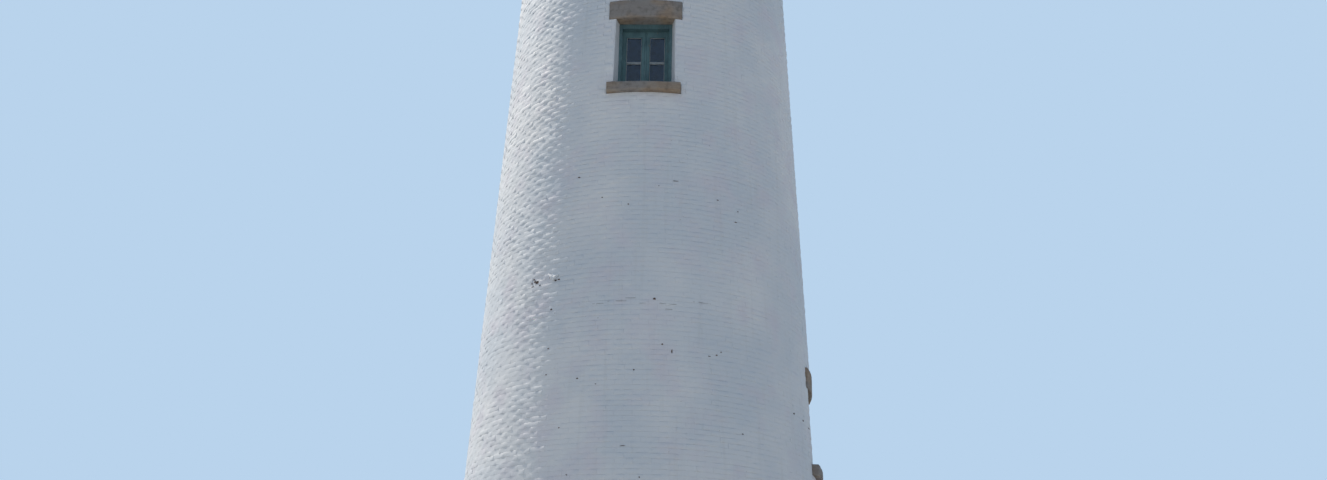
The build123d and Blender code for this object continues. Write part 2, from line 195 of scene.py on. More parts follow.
# pine under old grey-green oil paint: brush lines along the grain, chalked, worn bare in spots
oilPaintedPine = makeMaterial("oilPaintedPine", {
    "constants": {"Specular IOR Level": 0.4}, "ground": "#57777C",
    "coats": [
        (160, 0.4, 0.65, 0.7, "#445F67"),  # darker patches of paint
        (7, 0.55, 0.75, 0.5, "#83989D", 0.06),  # chalk along the brush lines
        (28, 0.7, 0.76, 0.7, "#7B6A57", 0.3),  # bare wood
    ],
    "relief": [(7, 0.3)], "reliefStretch": 0.06, "roughness": 0.45, "duller": (60, 0.3, 0.7, 0.3),
})
# linseed putty and the thin glazing bars painted over it: pale grey, chalked, hair-cracked
chalkedPutty = makeMaterial("chalkedPutty", {
    "constants": {"Roughness": 0.7, "Specular IOR Level": 0.35}, "ground": "#9AA3A8",
    "coats": [
        (40, 0.45, 0.65, 0.6, "#7E888C"),  # grey patches
        (9, 0.66, 0.72, 0.6, "#5F666A"),  # cracks
    ],
    "relief": [(8, 0.4)],
})
# drawn sheet in the windows: a little wavy, with a film of dust and salt; the strong blue of the sheet
# and the darker blue of the film are painted reflection of a blue sky, which keeps the panes dark blue
windowGlassPaintedSky = {
    "constants": {"IOR": 1.52, "Transmission Weight": 1.0}, "ground": "#5B8CC4",
    "coats": [(90, 0.4, 0.8, 1.0, "#4A749E", 1, 4.0)], "relief": [(180, 1.2)],
    "roughness": 0, "duller": (90, 0.4, 0.8, 0.2, 1, 4.0),
}
drawnGlassPaintedSky = makeMaterial("drawnWindowGlassPaintedSky", windowGlassPaintedSky)
# polished plate in the lantern: clearer and flatter, kept cleaner
plateGlass = makeMaterial("polishedPlateGlass", {
    **windowGlassPaintedSky, "ground": "#EDF4F4", "coats": [(160, 0.4, 0.8, 1.0, "#D5DEDD", 1, 4.0)],
    "relief": [(600, 0.4)], "duller": (160, 0.4, 0.8, 0.05, 1, 4.0),
})
# cast iron under black oil paint: faint sand-cast grain, chalky bloom, rust in spots and drips
blackPaintedIron = makeMaterial("blackPaintedCastIron", {
    "constants": {"Specular IOR Level": 0.45}, "ground": "#1F2123",
    "coats": [
        (340, 0.4, 0.65, 0.7, "#3B3E40"),  # chalky bloom
        (60, 0.62, 0.72, 0.6, "#6A3A22", 0.12),  # rust drips
        (26, 0.68, 0.74, 0.9, "#3F2418"),  # old rust
    ],
    "relief": [(5, 0.5)], "roughness": 0.38, "duller": (120, 0.3, 0.7, 0.3),
})
# sheet iron under red oxide paint: sun-faded, slightly dented, darker where water runs
redOxideIron = makeMaterial("redOxidePaintedIron", {
    "constants": {"Specular IOR Level": 0.4}, "ground": "#7C2F26",
    "coats": [
        (380, 0.4, 0.62, 0.8, "#96493A"),  # faded
        (75, 0.55, 0.75, 0.5, "#542019", 0.2),  # water runs
        (30, 0.68, 0.74, 0.8, "#5E3422"),  # rust
    ],
    "relief": [(320, 4.0), (4, 0.2)], "roughness": 0.42, "duller": (150, 0.3, 0.7, 0.3),
})
print("materials made")


# Mesh making: a part is its points and its faces, in metres

outward = Matrix.Rotation(math.radians(90), 4, "Y")  # turns what looks up to look along +X
easeLimit = 0.4  # of a box's least side


def addObject(name, data):
    thing = bpy.data.objects.new(name, data)
    bpy.context.scene.collection.objects.link(thing)
    return thing


def joinParts(parts):
    points, faces, offset = [], [], 0
    for partPoints, partFaces in parts:
        points.append(np.asarray(partPoints, float))
        faces += [[index + offset for index in face] for face in partFaces]
        offset += len(partPoints)
    return np.concatenate(points), faces


def placePart(part, matrix):
    points, faces = part
    grid = np.array(matrix)
    return points @ grid[:3, :3].T + grid[:3, 3], faces


def turned(degrees):
    return Matrix.Rotation(math.radians(degrees), 4, "Z")


def moved(x, y, z):
    return Matrix.Translation((x, y, z))


def polar(radius, angle, z):
    return (radius * math.cos(angle), radius * math.sin(angle), z)


def polygonSide(radius, sides):
    # of a regular polygon: how far off the middle of a side is, and half a side's length
    x, y, _ = polar(radius, math.pi / sides, 0)
    return x, y


def ringOf(parts, count, start=0.0):
    # the parts together, copied evenly round the tower
    part = joinParts(parts)
    return [placePart(part, turned(start + 360 * index / count)) for index in range(count)]


def addPiece(name, parts, material, sharp=None, turn=0):
    # one named mesh of all its parts, riding on the tower; edges over the sharp angle stay crisp
    points, faces = placePart(joinParts(parts), turned(turn))
    mesh = bpy.data.meshes.new(name)
    mesh.from_pydata(points.tolist(), [], faces)
    mesh.materials.append(material)
    piece = addObject(name, mesh)
    if sharp is not None:
        mesh.shade_smooth()
        mesh.set_sharp_from_angle(angle=math.radians(sharp))
    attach(piece, "root")
    return piece


def softBox(low, high, chamfer):
    # a box between two corners with its edges eased by chamfer millimetres
    size = [b - a for a, b in zip(low, high)]
    middle = [(a + b) / 2 for a, b in zip(low, high)]
    shape = bmesh.new()
    bmesh.ops.create_cube(shape, size=1.0, matrix=moved(*middle) @ Matrix.Diagonal((*size, 1)))
    ease = min(chamfer * mm, easeLimit * min(size))
    bmesh.ops.bevel(shape, geom=shape.edges[:], offset=ease, segments=1, affect="EDGES")
    shape.verts.index_update()
    faces = [[v.index for v in face.verts] for face in shape.faces]
    part = (np.array([v.co for v in shape.verts]), faces)
    shape.free()
    return part


def slab(back, front, y, half, low, high, chamfer):
    # a soft box from back to front, half its width to each side of y
    return softBox((back, y - half, low), (front, y + half, high), chamfer)


def stripFrame(x, halfWidth, low, high, width, depth, middle=0.0, chamfer=2):
    # four square-ended strips round the inside of a rectangle, standing back from x by depth
    y0, y1 = middle - halfWidth, middle + halfWidth
    return [softBox((x - depth, y0, low), (x, y0 + width, high), chamfer),
            softBox((x - depth, y1 - width, low), (x, y1, high), chamfer),
            softBox((x - depth, y0 + width, low), (x, y1 - width, low + width), chamfer),
            softBox((x - depth, y0 + width, high - width), (x, y1 - width, high), chamfer)]


def raisedPanel(face, half, low, high, sizes, y=0.0):
    # a moulding round the inside of a panel and a raised field in the middle of it
    margin = sizes.fieldMargin
    parts = stripFrame(face - sizes.tuck, half, low, high, sizes.moulding, sizes.mouldingDepth, y,
                       chamfer=5)
    parts.append(slab(face - sizes.fieldBack, face - sizes.fieldSet, y, half - margin,
                      low + margin, high - margin, chamfer=sizes.fieldChamfer / mm))
    return parts


def tubeFaces(size, rings):
    # the side faces of a tube through so many rings of so many points each
    faces = []
    for base in range(0, (rings - 1) * size, size):
        for i in range(size):
            after = (i + 1) % size
            faces.append([base + i, base + after, base + size + after, base + size + i])
    return faces


def turnedPart(outline, steps):
    # a closed solid turned about z from (radius, height) points, bottom to top, both ends on the axis
    ring = outline[1:-1]
    points = [(0, 0, outline[0][1])]
    for radius, height in ring:
        for step in range(steps):
            points.append(polar(radius, 2 * math.pi * step / steps, height))
    points.append((0, 0, outline[-1][1]))
    top = 1 + (len(ring) - 1) * steps
    faces = []
    for step in range(steps):
        after = (step + 1) % steps
        faces += [[0, 1 + after, 1 + step], [top + step, top + after, len(points) - 1]]
        for base in range(1, top, steps):
            faces.append([base + step, base + after, base + steps + after, base + steps + step])
    return np.array(points), faces


def turnedShape(shape, width, height, steps):
    # a turned solid whose outline is given in half its width and its height
    return turnedPart([(width / 2 * out, height * up) for out, up in shape], steps)


# a domed bolt head that stands on its z = 0, sunk a little into what it holds
boltShape = [(0, -1 / 3), (1, -1 / 3), (1, 0.45), (0.6, 0.85), (0, 1)]


def boltHead(width, height):
    return turnedShape(boltShape, width, height, steps=8)


def uprightBolt(width, height, x, y, z):
    return placePart(boltHead(width, height), moved(x, y, z))


def sideBolt(width, height, x, y, z):
    return placePart(placePart(boltHead(width, height), outward), moved(x, y, z))


def localBox(node, side):
    # a node's least and greatest corner when its side is turned to face +X
    back = turned(-sideTurns[side])
    corners = [back @ vertex.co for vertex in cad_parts[node].data.vertices]
    return Vector(map(min, *corners)), Vector(map(max, *corners))


def inMetres(sizes):
    # a dictionary of millimetres as sizes.name in metres
    return SimpleNamespace(**{name: value * mm for name, value in sizes.items()})


# Brickwork of the shaft and frieze

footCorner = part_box("wall_lower_left")[0]
upperCorner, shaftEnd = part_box("wall_upper_left")
shaftFoot, shaftTop = footCorner.z, shaftEnd.z
shaftBatter = (upperCorner.x - footCorner.x) / (upperCorner.z - footCorner.z)

brickwork = {  # mm, shares, and how many courses keep one count of bricks
    "course": 68.5, "stretcher": 230, "bandCourses": 8, "rowJitter": 0.04, "arris": 7, "endArris": 8,
    "endShare": 0.8, "buried": 2, "rim": 5.0, "rimDrop": 2.4, "middleProud": -3.9, "chordShare": 3.1,
    "leastProud": 0.8, "proudScatter": 0.7, "tilt": 0.6, "twist": 1.0, "arrisScatter": 0.6,
    "arrisWander": 3.5, "looseShare": 0.12, "looseProud": 1.8, "waver": 3, "waverLength": 1500,
    "fillPatch": 900, "bare": 0.95, "bareSpread": 0.3, "bareLimits": (0.6, 1.3), "closed": 0.6,
    "opened": 4, "openFrom": 0.9, "openSteep": 3, "leastWidth": 7, "leastHeight": 7, "mostEase": 0.35,
    "stoneGap": 4, "windowFace": 880, "doorFace": 1040, "leastCourse": 0.1,
}
spall = {  # brick lost left of the front: degrees, mm, levels in m, and its patch as a flake's sizes
    "bearing": -35.9, "width": 60, "low": 7.893, "high": 7.938, "patch": (78, 62, -3.0, 1.2),
}


def shaftRadius(level):
    return -footCorner.x - shaftBatter * (level - shaftFoot)


def cutAround(cell, hole):
    # what is left of a brick (left, right, low, high) beside, under and over a hole of the same form
    left, right, low, high = cell
    holeLeft, holeRight, holeLow, holeHigh = hole
    if holeRight <= left or holeLeft >= right or holeHigh <= low or holeLow >= high:
        return [cell]
    middle = (max(left, holeLeft), min(right, holeRight))
    return [(left, holeLeft, low, high), (holeRight, right, low, high),
            (*middle, low, holeLow), (*middle, holeHigh, high)]


def layCourses(low, high, radiusAt, holes, look):
    # running bond right round the tower: bricks as (left angle, right angle, low, high)
    course = look["course"] * mm
    cells = []
    for row in range(math.ceil((high - low) / course - look["leastCourse"])):
        base = low + row * course
        top = min(base + course, high)
        radius = radiusAt((base + top) / 2)
        band = low + (row // look["bandCourses"] + 0.5) * look["bandCourses"] * course
        count = round(2 * math.pi * radiusAt(band) / (look["stretcher"] * mm))
        pitch = 2 * math.pi / count
        shift = 0.5 * (row % 2) + rng.uniform(-look["rowJitter"], look["rowJitter"])
        start = -1.25 * math.pi + pitch * shift  # rows start between the back and the left side
        kept = [(start + i * pitch, start + (i + 1) * pitch, base, top) for i in range(count)]
        for bearing, half, holeLow, holeHigh in holes:
            if holeLow < top and holeHigh > base:
                turn, reach = math.radians(bearing), math.asin(half / radius)
                hole = (turn - reach, turn + reach, holeLow, holeHigh)
                kept = [piece for cell in kept for piece in cutAround(cell, hole)]
        least = look["leastWidth"] * mm / radius
        cells += [c for c in kept if c[1] - c[0] > least and c[3] - c[2] > look["leastHeight"] * mm]
    return np.array(cells)


noiseGain = 1.6  # brings the noise to about -1 to 1


def slowNoise(angles, levels, radius, length, shift):
    # a slow random field over the wall; each shift gives another one
    places = np.stack([radius * np.cos(angles) + shift, radius * np.sin(angles), levels], axis=-1)
    return noiseGain * np.array([noise.noise(place) for place in places / length])


def layBricks(cells, radiusAt, look):
    # closed blocks with flat faces: on the curve their ends stand out past the courses above and below;
    # thick paint rounds their arrises and fills most of the joints
    left, right, low, high = cells.T
    count = len(cells)
    middle, level = (left + right) / 2, (low + high) / 2
    radius = radiusAt(level)
    openness = slowNoise(middle, level, radius, look["fillPatch"] * mm, 7.0)
    bareness = np.clip(look["bare"] + look["bareSpread"] * openness, *look["bareLimits"])
    opened = np.clip((openness - look["openFrom"]) * look["openSteep"], 0, 1)
    joint = (look["closed"] + look["opened"] * opened) / 2 * mm
    ends = np.minimum(look["endArris"] * mm, (right - left) * radius * look["mostEase"])
    sides = np.stack([left + joint / radius, left + (joint + ends) / radius, middle,
                      right - (joint + ends) / radius, right - joint / radius], axis=1)
    rise = np.minimum(look["arris"] * mm, (high - low) * look["mostEase"])
    rows = np.stack([low + joint, low + joint + rise, high - joint - rise, high - joint], axis=1)
    angles = np.repeat(sides[:, None, :], 4, axis=1)  # in front, 4 rows of 5 points for each brick
    levels = np.repeat(rows[:, :, None], 5, axis=2)
    wander = np.minimum(look["arrisWander"] * mm, rise / 2)[:, None, None]
    levels[:, 1:3, 1:4] += rng.uniform(-1, 1, (count, 2, 3)) * wander

    # how far the middle points stand out, in mm
    chord = look["chordShare"] * radius[:, None] * (1 / np.cos(sides - middle[:, None]) - 1) / mm
    proud = look["middleProud"] + look["proudScatter"] * rng.normal(0, 1, count)
    proud += look["looseProud"] * (rng.random(count) < look["looseShare"])
    face = proud[:, None, None] + chord[:, None, 1:4]
    face = face + look["arrisScatter"] * rng.normal(0, 1, (count, 2, 3))
    face += look["tilt"] * rng.normal(0, 1, count)[:, None, None] * np.array([-1, 1])[None, :, None]
    face += look["twist"] * rng.normal(0, 1, count)[:, None, None] * np.array([-1, 0, 1])[None, None, :]
    rim = look["rim"] - look["rimDrop"] * opened
    inner = look["rim"] + np.maximum(face * bareness[:, None, None], look["leastProud"] - look["rim"])
    out = np.repeat(rim, 20).reshape(count, 4, 5)
    out[:, 1:3, 1:4] = inner
    for row in (1, 2):
        for column, edge in ((1, 0), (3, 4)):
            out[:, row, edge] = rim + look["endShare"] * (inner[:, row - 1, column - 1] - rim)

    # 4 corners behind make 24 points for each brick
    backAngles = np.stack([sides[:, 0], sides[:, 4], sides[:, 4], sides[:, 0]], axis=1)
    backLevels = np.stack([rows[:, 0], rows[:, 0], rows[:, 3], rows[:, 3]], axis=1)
    backOut = np.full((count, 4), -look["buried"])
    angles = np.concatenate([angles.reshape(count, 20), backAngles], axis=1).ravel()
    levels = np.concatenate([levels.reshape(count, 20), backLevels], axis=1).ravel()
    out = np.concatenate([out.reshape(count, 20), backOut], axis=1).ravel() * mm
    wave = slowNoise(angles, levels, np.repeat(radius, 24), look["waverLength"] * mm, 31.0)
    heights = levels + look["waver"] * mm * wave
    reach = radiusAt(heights) + out
    points = np.stack([reach * np.cos(angles), reach * np.sin(angles), heights], axis=1)
    front = [[r * 5 + c, r * 5 + c + 1, r * 5 + c + 6, r * 5 + c + 5] for r in range(3) for c in range(4)]
    block = [[4, 3, 2, 1, 0, 20, 21], [15, 16, 17, 18, 19, 22, 23], [0, 5, 10, 15, 23, 20],
             [19, 14, 9, 4, 21, 22], [20, 23, 22, 21]]
    faces = [[first + i for i in face] for first in range(0, 24 * count, 24) for face in front + block]
    return points, faces


def holesOf(side):
    # stones and hole of a window, as (bearing, half width, low, high)
    gap = brickwork["stoneGap"] * mm
    frameLow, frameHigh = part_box(f"{side}_window_frame")
    found = [(sideTurns[side], brickwork["windowFace"] / 2 * mm, frameLow.z, frameHigh.z)]
    for stone in (f"{side}_window_lintel", f"{side}_window_sill"):
        low, high = localBox(stone, side)
        found.append((sideTurns[side], high.y + gap, low.z - gap, high.z + gap))
    return found


doorHalf, stoneGap = brickwork["doorFace"] / 2 * mm, brickwork["stoneGap"] * mm
lintelLow, lintelHigh = localBox("door_lintel", "back")
holes = holesOf("front") + holesOf("right") + holesOf("back")
holes.append((sideTurns["back"], doorHalf, 0, lintelLow.z))
holes.append((sideTurns["back"], lintelHigh.y + stoneGap, lintelLow.z, lintelHigh.z + stoneGap))
holes.append((spall["bearing"] - 90, spall["width"] / 2 * mm, spall["low"], spall["high"]))
holes = [(bearing - turn, *rest) for bearing, *rest in holes for turn in (0, 360)]
shaftCells = layCourses(shaftFoot, shaftTop, shaftRadius, holes, brickwork)
quarters = np.round(np.degrees((shaftCells[:, 0] + shaftCells[:, 1]) / 2) / 90) % 4
liftBottom = 0
for lift in ("lower", "middle", "upper"):
    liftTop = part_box(f"wall_{lift}_left")[1].z
    inLift = (shaftCells[:, 2] >= liftBottom) & (shaftCells[:, 2] < liftTop)
    for index, side in enumerate(("right", "back", "left", "front")):  # quarters 0 to 3
        bricks = layBricks(shaftCells[inLift & (quarters == index)], shaftRadius, brickwork)
        addPiece(f"bricks_{lift}_{side}", [bricks], whitewashedBrick, sharp=60)
    liftBottom = liftTop
print("shaft bricks laid:", len(shaftCells))

friezeRadius = shaftRadius(shaftTop)
beltSteps = (30, 90, 90)  # mm that each belt course stands out


def layStraight(low, high, out):
    # the frieze stands upright, so its face is as far out at every level
    def radiusAt(level):
        return friezeRadius + out * mm + 0 * level

    return layBricks(layCourses(low, high, radiusAt, [], brickwork), radiusAt, brickwork)


friezeParts, level = [], shaftTop
for beltStep in beltSteps:
    friezeParts.append(layStraight(level, level + brickwork["course"] * mm, beltStep))
    level += brickwork["course"] * mm
friezeParts.append(layStraight(level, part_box("brick_frieze")[1].z, 0))
addPiece("bricks_frieze", friezeParts, whitewashedBrick, sharp=60)
print("frieze bricks laid")


# Weather and age on the shaft, and painted shadow under the mortar lump

chipsAndLumpShadow = [  # flaked paint seen, and in the last row painted shadow under the mortar lump: degrees right of the front, level in m, width and height in mm
    (-22, 9.38, 42, 16), (-13, 9.03, 24, 18), (-4, 8.91, 22, 20), (6, 9.19, 30, 16), (12, 9.28, 95, 9),
    (27, 9.08, 34, 18), (35, 8.98, 30, 16), (34, 8.81, 40, 12), (-29, 6.92, 30, 20), (8, 6.91, 26, 22),
    (11, 6.82, 18, 60), (23, 6.80, 44, 14), (25.5, 6.83, 36, 20), (27, 6.88, 26, 16),
    (-0.5, 6.55, 30, 22), (-29, 6.56, 26, 16), (-18, 6.46, 24, 18), (-12, 6.37, 22, 16),
    (-23, 5.82, 22, 18), (-3, 5.55, 60, 10), (34, 5.82, 28, 18), (42, 5.56, 26, 20), (2, 5.15, 24, 22),
    (-19.5, 5.20, 22, 16), (59, 6.30, 40, 24), (66, 6.27, 46, 20), (72, 6.22, 50, 26),
    (5.4, 7.533, 40, 34), (-29, 7.47, 34, 24), (-27.4, 7.41, 26, 18), (-37.4, 7.965, 36, 26),
    (-37.6, 7.862, 50, 18), (-34.6, 7.862, 30, 14), (-38.2, 7.915, 22, 30), (-36.9, 7.93, 34, 40),
    # painted shadow: dark patches of bare brick along the underside of the mortar lump, where its shadow
    # falls
    (-30.4, 7.942, 44, 22), (-29.3, 7.903, 50, 24), (-28.2, 7.884, 54, 26), (-27.0, 7.89, 44, 22),
]
cracks = [  # hair cracks along the bed joints: from and to in degrees right of the front, level in m
    (-14.4, -10.8, 7.477), (-9.5, -3.4, 7.502), (-3.9, -0.6, 7.543), (0.7, 3.9, 7.465),
    (7.0, 12.4, 7.472), (8.9, 11.1, 7.399), (16.6, 18.3, 7.53), (19.6, 23.7, 7.538), (11, 14, 9.28),
    (-4, -2.2, 5.55),
]
chip = {  # mm from the wall's face, points round it, and shares of its size
    "back": -1.0, "front": 9.0, "arris": 1, "points": 9, "ragged": (0.6, 1.15), "flat": 0.7,
}
crack = {  # mm, shares of its height, degrees that its waves are long, and steps to a degree
    "height": 5, "back": -2, "front": 7.6, "wander": 12, "wanderLength": 9, "finest": 0.6,
    "swelling": 0.8, "swellingLength": 2, "steps": 1.5, "leastSteps": 4,
}
lump = {  # mm, shares of its size, counts, and its path in degrees and levels in m
    "size": 62, "proud": 46, "rings": 13, "steps": 10, "ends": (0.08, 0.88), "taperPower": 1.6,
    "girth": 0.8, "girthSpread": 0.5, "girthStep": 0.9, "knobs": 0.35, "knobStep": 0.7, "across": 0.5,
    "upright": 0.7, "lean": 0.5,
    "path": [(-31.4, 8.0), (-30.4, 7.965), (-29.3, 7.93), (-28.2, 7.915), (-27.2, 7.95)],
}
unseen = {  # chips strewn out of sight, and between which bearings, levels, widths and heights
    "count": 60, "ranges": ((80, 280), (1.0, 14.4), (20, 60), (12, 30)),
}


def wallPoint(bearing, level, out):
    # a point at so many degrees right of the front, out millimetres from the wall's face
    return polar(shaftRadius(level) + out * mm, math.radians(bearing - 90), level)


def flake(bearing, level, width, height, back=chip["back"], front=chip["front"]):
    # a ragged patch of bare brick, also used as painted shadow under the mortar lump, back and front in
    # mm from the wall's face, with a draw of its own
    shape = np.random.default_rng(int(1000 * level + 7 * bearing + 5000))
    steps = chip["points"]
    ragged = shape.uniform(*chip["ragged"], steps)
    points = []
    for out, share in ((back, 1.0), (front - chip["arris"], 1.0), (front, chip["flat"])):
        for step in range(steps):
            angle = 2 * math.pi * step / steps
            half = share * ragged[step] / 2 * mm
            across = math.degrees(half * width * math.cos(angle) / shaftRadius(level))
            points.append(wallPoint(bearing + across, level + half * height * math.sin(angle), out))
    ends = [list(range(steps))[::-1], list(range(2 * steps, 3 * steps))]
    return np.array(points), ends + tubeFaces(steps, 3)


def hairCrack(start, end, level):
    # a thin closed strip along a bed joint, wandering a little up and down and now wider, now finer
    steps = max(crack["leastSteps"], int((end - start) * crack["steps"]))
    back, front = crack["back"], crack["front"]
    points, faces = [], []
    for step in range(steps + 1):
        bearing = start + (end - start) * step / steps
        wave = noise.noise((bearing / crack["wanderLength"], level, 3.0))
        middle = level + crack["wander"] * mm * wave
        swell = abs(noise.noise((bearing / crack["swellingLength"], level, 8.0)))
        half = (crack["finest"] + crack["swelling"] * swell) * crack["height"] / 2 * mm
        for out, rise in ((back, -half), (front, -half), (front, half), (back, half)):
            points.append(wallPoint(bearing, middle + rise, out))
    for a in range(0, 4 * steps, 4):
        faces += [[a + i, a + 4 + i, a + 4 + (i + 1) % 4, a + (i + 1) % 4] for i in range(4)]
    faces += [[3, 2, 1, 0], [4 * steps, 4 * steps + 1, 4 * steps + 2, 4 * steps + 3]]
    return np.array(points), faces


def lumpOfMortar():
    # squeezed out and painted over: a knobbly ridge across the wall, thickest past its middle
    rings, steps, path, (start, end) = lump["rings"], lump["steps"], lump["path"], lump["ends"]
    knots = np.linspace(0, 1, len(path))
    points, faces = [], []
    for ring in range(rings):
        share = ring / (rings - 1)
        bearing, level = (np.interp(share, knots, column) for column in zip(*path))
        taper = math.sin(math.pi * (start + (end - start) * share ** lump["taperPower"]))
        uneven = lump["girth"] + lump["girthSpread"] * noise.noise((ring * lump["girthStep"], 2, 5))
        girth = lump["size"] * taper * uneven
        for step in range(steps):
            angle = 2 * math.pi * step / steps
            knob = noise.noise((ring * lump["knobStep"], math.cos(angle), math.sin(angle) + 4))
            swell = girth * (1 + lump["knobs"] * knob)
            across = math.degrees(swell * lump["across"] * mm * math.cos(angle) / shaftRadius(level))
            rise = swell * lump["upright"] * mm * math.cos(angle)
            out = lump["proud"] * (lump["lean"] * share + swell / lump["size"] * math.sin(angle))
            points.append(wallPoint(bearing + across, level + rise, out))
    for a in range(0, (rings - 1) * steps, steps):
        for i in range(steps):
            after = (i + 1) % steps
            faces.append([a + after, a + steps + after, a + steps + i, a + i])
    last = (rings - 1) * steps
    faces += [list(range(steps))[::-1], [last + i for i in range(steps)]]
    return np.array(points), faces


strewn = [[rng.uniform(*limits) for limits in unseen["ranges"]] for _ in range(unseen["count"])]
flakesAndLumpShadow = [flake(*mark) for mark in chipsAndLumpShadow + strewn]
flakesAndLumpShadow.append(flake(spall["bearing"], (spall["low"] + spall["high"]) / 2, *spall["patch"]))
addPiece("paint_flakes_and_lump_shadow", flakesAndLumpShadow, bareFiredBrick)
addPiece("hair_cracks", [hairCrack(*line) for line in cracks], crackedPaint)
addPiece("mortar_lump", [lumpOfMortar()], whitewashedBrick, sharp=80)
print("wear added:", len(flakesAndLumpShadow), "marks")


# Stones of the windows and the door

stoneWork = {  # mm, and the smoothing's passes and strength
    "grain": 15, "loss": 3.5, "lossPatch": 70, "pit": 2.0, "pitPatch": 22, "passes": 4, "ease": 0.5,
}


def erodedStone(node):
    # the stone of a CAD node with its arrises worn round and its faces weathered back
    piece = addObject(f"{node}_worn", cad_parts[node].data.copy())
    remesh = piece.modifiers.new("remesh", "REMESH")
    remesh.mode = "VOXEL"
    remesh.voxel_size = stoneWork["grain"] * mm
    ease = piece.modifiers.new("ease", "SMOOTH")
    ease.factor = stoneWork["ease"]
    ease.iterations = stoneWork["passes"]
    bpy.context.view_layer.update()
    mesh = bpy.data.meshes.new_from_object(piece.evaluated_get(bpy.context.evaluated_depsgraph_get()))
    piece.modifiers.clear()
    piece.data = mesh
    for vertex in mesh.vertices:
        wide = 0.5 + 0.5 * noise.noise(vertex.co / (stoneWork["lossPatch"] * mm))
        fine = 0.5 + 0.5 * noise.noise(vertex.co / (stoneWork["pitPatch"] * mm))
        vertex.co -= vertex.normal * mm * (stoneWork["loss"] * wide + stoneWork["pit"] * fine)
    mesh.materials.clear()
    mesh.materials.append(sawnSandstone)
    mesh.shade_smooth()
    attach(piece, "root")
    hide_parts(node)


for side in sideTurns:
    erodedStone(f"{side}_window_lintel")
    erodedStone(f"{side}_window_sill")
erodedStone("door_lintel")
print("stones worn")


# Windows

window = {  # mm
    "frameStile": 65, "frameHead": 75, "frameFoot": 30, "leafStile": 57, "leafTop": 94, "leafFoot": 60,
    "gap": 3, "tuck": 2, "barHeight": 25, "barRise": 398, "barDepth": 28, "barSet": 3, "putty": 9,
    "puttySet": 8, "puttyDepth": 13, "leafBead": 10, "leafBeadOut": 14, "leafBeadProud": 3,
    "leafBeadDepth": 6, "cover": 30, "coverProud": 9, "coverShort": 12, "bead": 12, "beadProud": 4,
    "beadDepth": 9, "hinge": 13, "hingeLength": 76, "hingeInset": 120, "hingeProud": 3, "hingeDome": 1,
}


def dressWindow(side):
    # glazing bars, putty, beads, meeting cover and hinges, made facing +X and turned to their side
    sizes = inMetres(window)
    frameLow, frameHigh = localBox(f"{side}_window_frame", side)
    face = localBox(f"{side}_window_casements", side)[1].x
    lightHalf = frameHigh.y - sizes.frameStile
    lightLow, lightHigh = frameLow.z + sizes.frameFoot, frameHigh.z - sizes.frameHead
    paneHalf = (lightHalf - sizes.gap / 2 - 2 * sizes.leafStile) / 2
    paneMiddle = sizes.gap / 2 + sizes.leafStile + paneHalf
    paneLow, paneHigh = lightLow + sizes.leafFoot, lightHigh - sizes.leafTop
    barLow = paneLow + sizes.barRise
    barHigh = barLow + sizes.barHeight
    barHalf, beadOut, bead = paneHalf + sizes.tuck, sizes.leafBeadOut, sizes.bead
    glazing, wood = [], []
    for y in (-paneMiddle, paneMiddle):
        glazing.append(slab(face - sizes.barDepth, face - sizes.barSet, y, barHalf,
                            barLow, barHigh, chamfer=3))
        for low, high in ((paneLow, barLow), (barHigh, paneHigh)):
            glazing += stripFrame(face - sizes.puttySet, paneHalf, low, high, sizes.putty,
                                  sizes.puttyDepth, y, chamfer=4)
        wood += stripFrame(face + sizes.leafBeadProud, paneHalf + beadOut, paneLow - beadOut,
                           paneHigh + beadOut, sizes.leafBead, sizes.leafBeadDepth, y)
    wood.append(slab(face - sizes.tuck, face + sizes.coverProud, 0, sizes.cover / 2,
                     lightLow + sizes.coverShort, lightHigh - sizes.coverShort, chamfer=4))
    wood += stripFrame(frameHigh.x + sizes.beadProud, lightHalf + bead, lightLow - bead, lightHigh + bead,
                       bead, sizes.beadDepth, chamfer=4)
    length, r = sizes.hingeLength, sizes.hinge / 2
    knuckle = turnedPart([(0, 0), (r, sizes.hingeDome), (r, length), (0, length)], steps=8)
    for y in (-lightHalf, lightHalf):
        for z in (lightLow + sizes.hingeInset, lightHigh - sizes.hingeInset - length):
            wood.append(placePart(knuckle, moved(face + sizes.hingeProud, y, z)))
    turn = sideTurns[side]
    addPiece(f"{side}_glazing_bars", glazing, chalkedPutty, sharp=50, turn=turn)
    addPiece(f"{side}_window_trim", wood, oilPaintedPine, sharp=50, turn=turn)


for side in sideTurns:
    dressWindow(side)
print("windows dressed")


# Entry door

door = {  # mm
    "leafRail": 120, "lockRail": 180, "lockLevel": 900, "gap": 6, "tuck": 2, "moulding": 22,
    "mouldingDepth": 10, "fieldMargin": 50, "fieldBack": 16, "fieldSet": 5, "fieldChamfer": 6,
    "bead": 16, "beadProud": 5, "beadDepth": 10, "seat": 1, "strapLength": 520, "strapWidth": 45,
    "strapDepth": 7, "strapLow": 90, "strapHigh": 60, "bolt": 18, "boltHeight": 7, "plateWidth": 60,
    "plateHeight": 190, "plateDepth": 5, "knob": 56,
}
boltShares = (0.12, 0.5, 0.88)  # along a strap
knobLevel = 0.6  # up the lock plate
knobShape = [(0.35, 0.5), (0.4, 0.9), (1, 1.3), (0.95, 1.9), (0.4, 2.2), (0, 2.25)]  # in knob radii


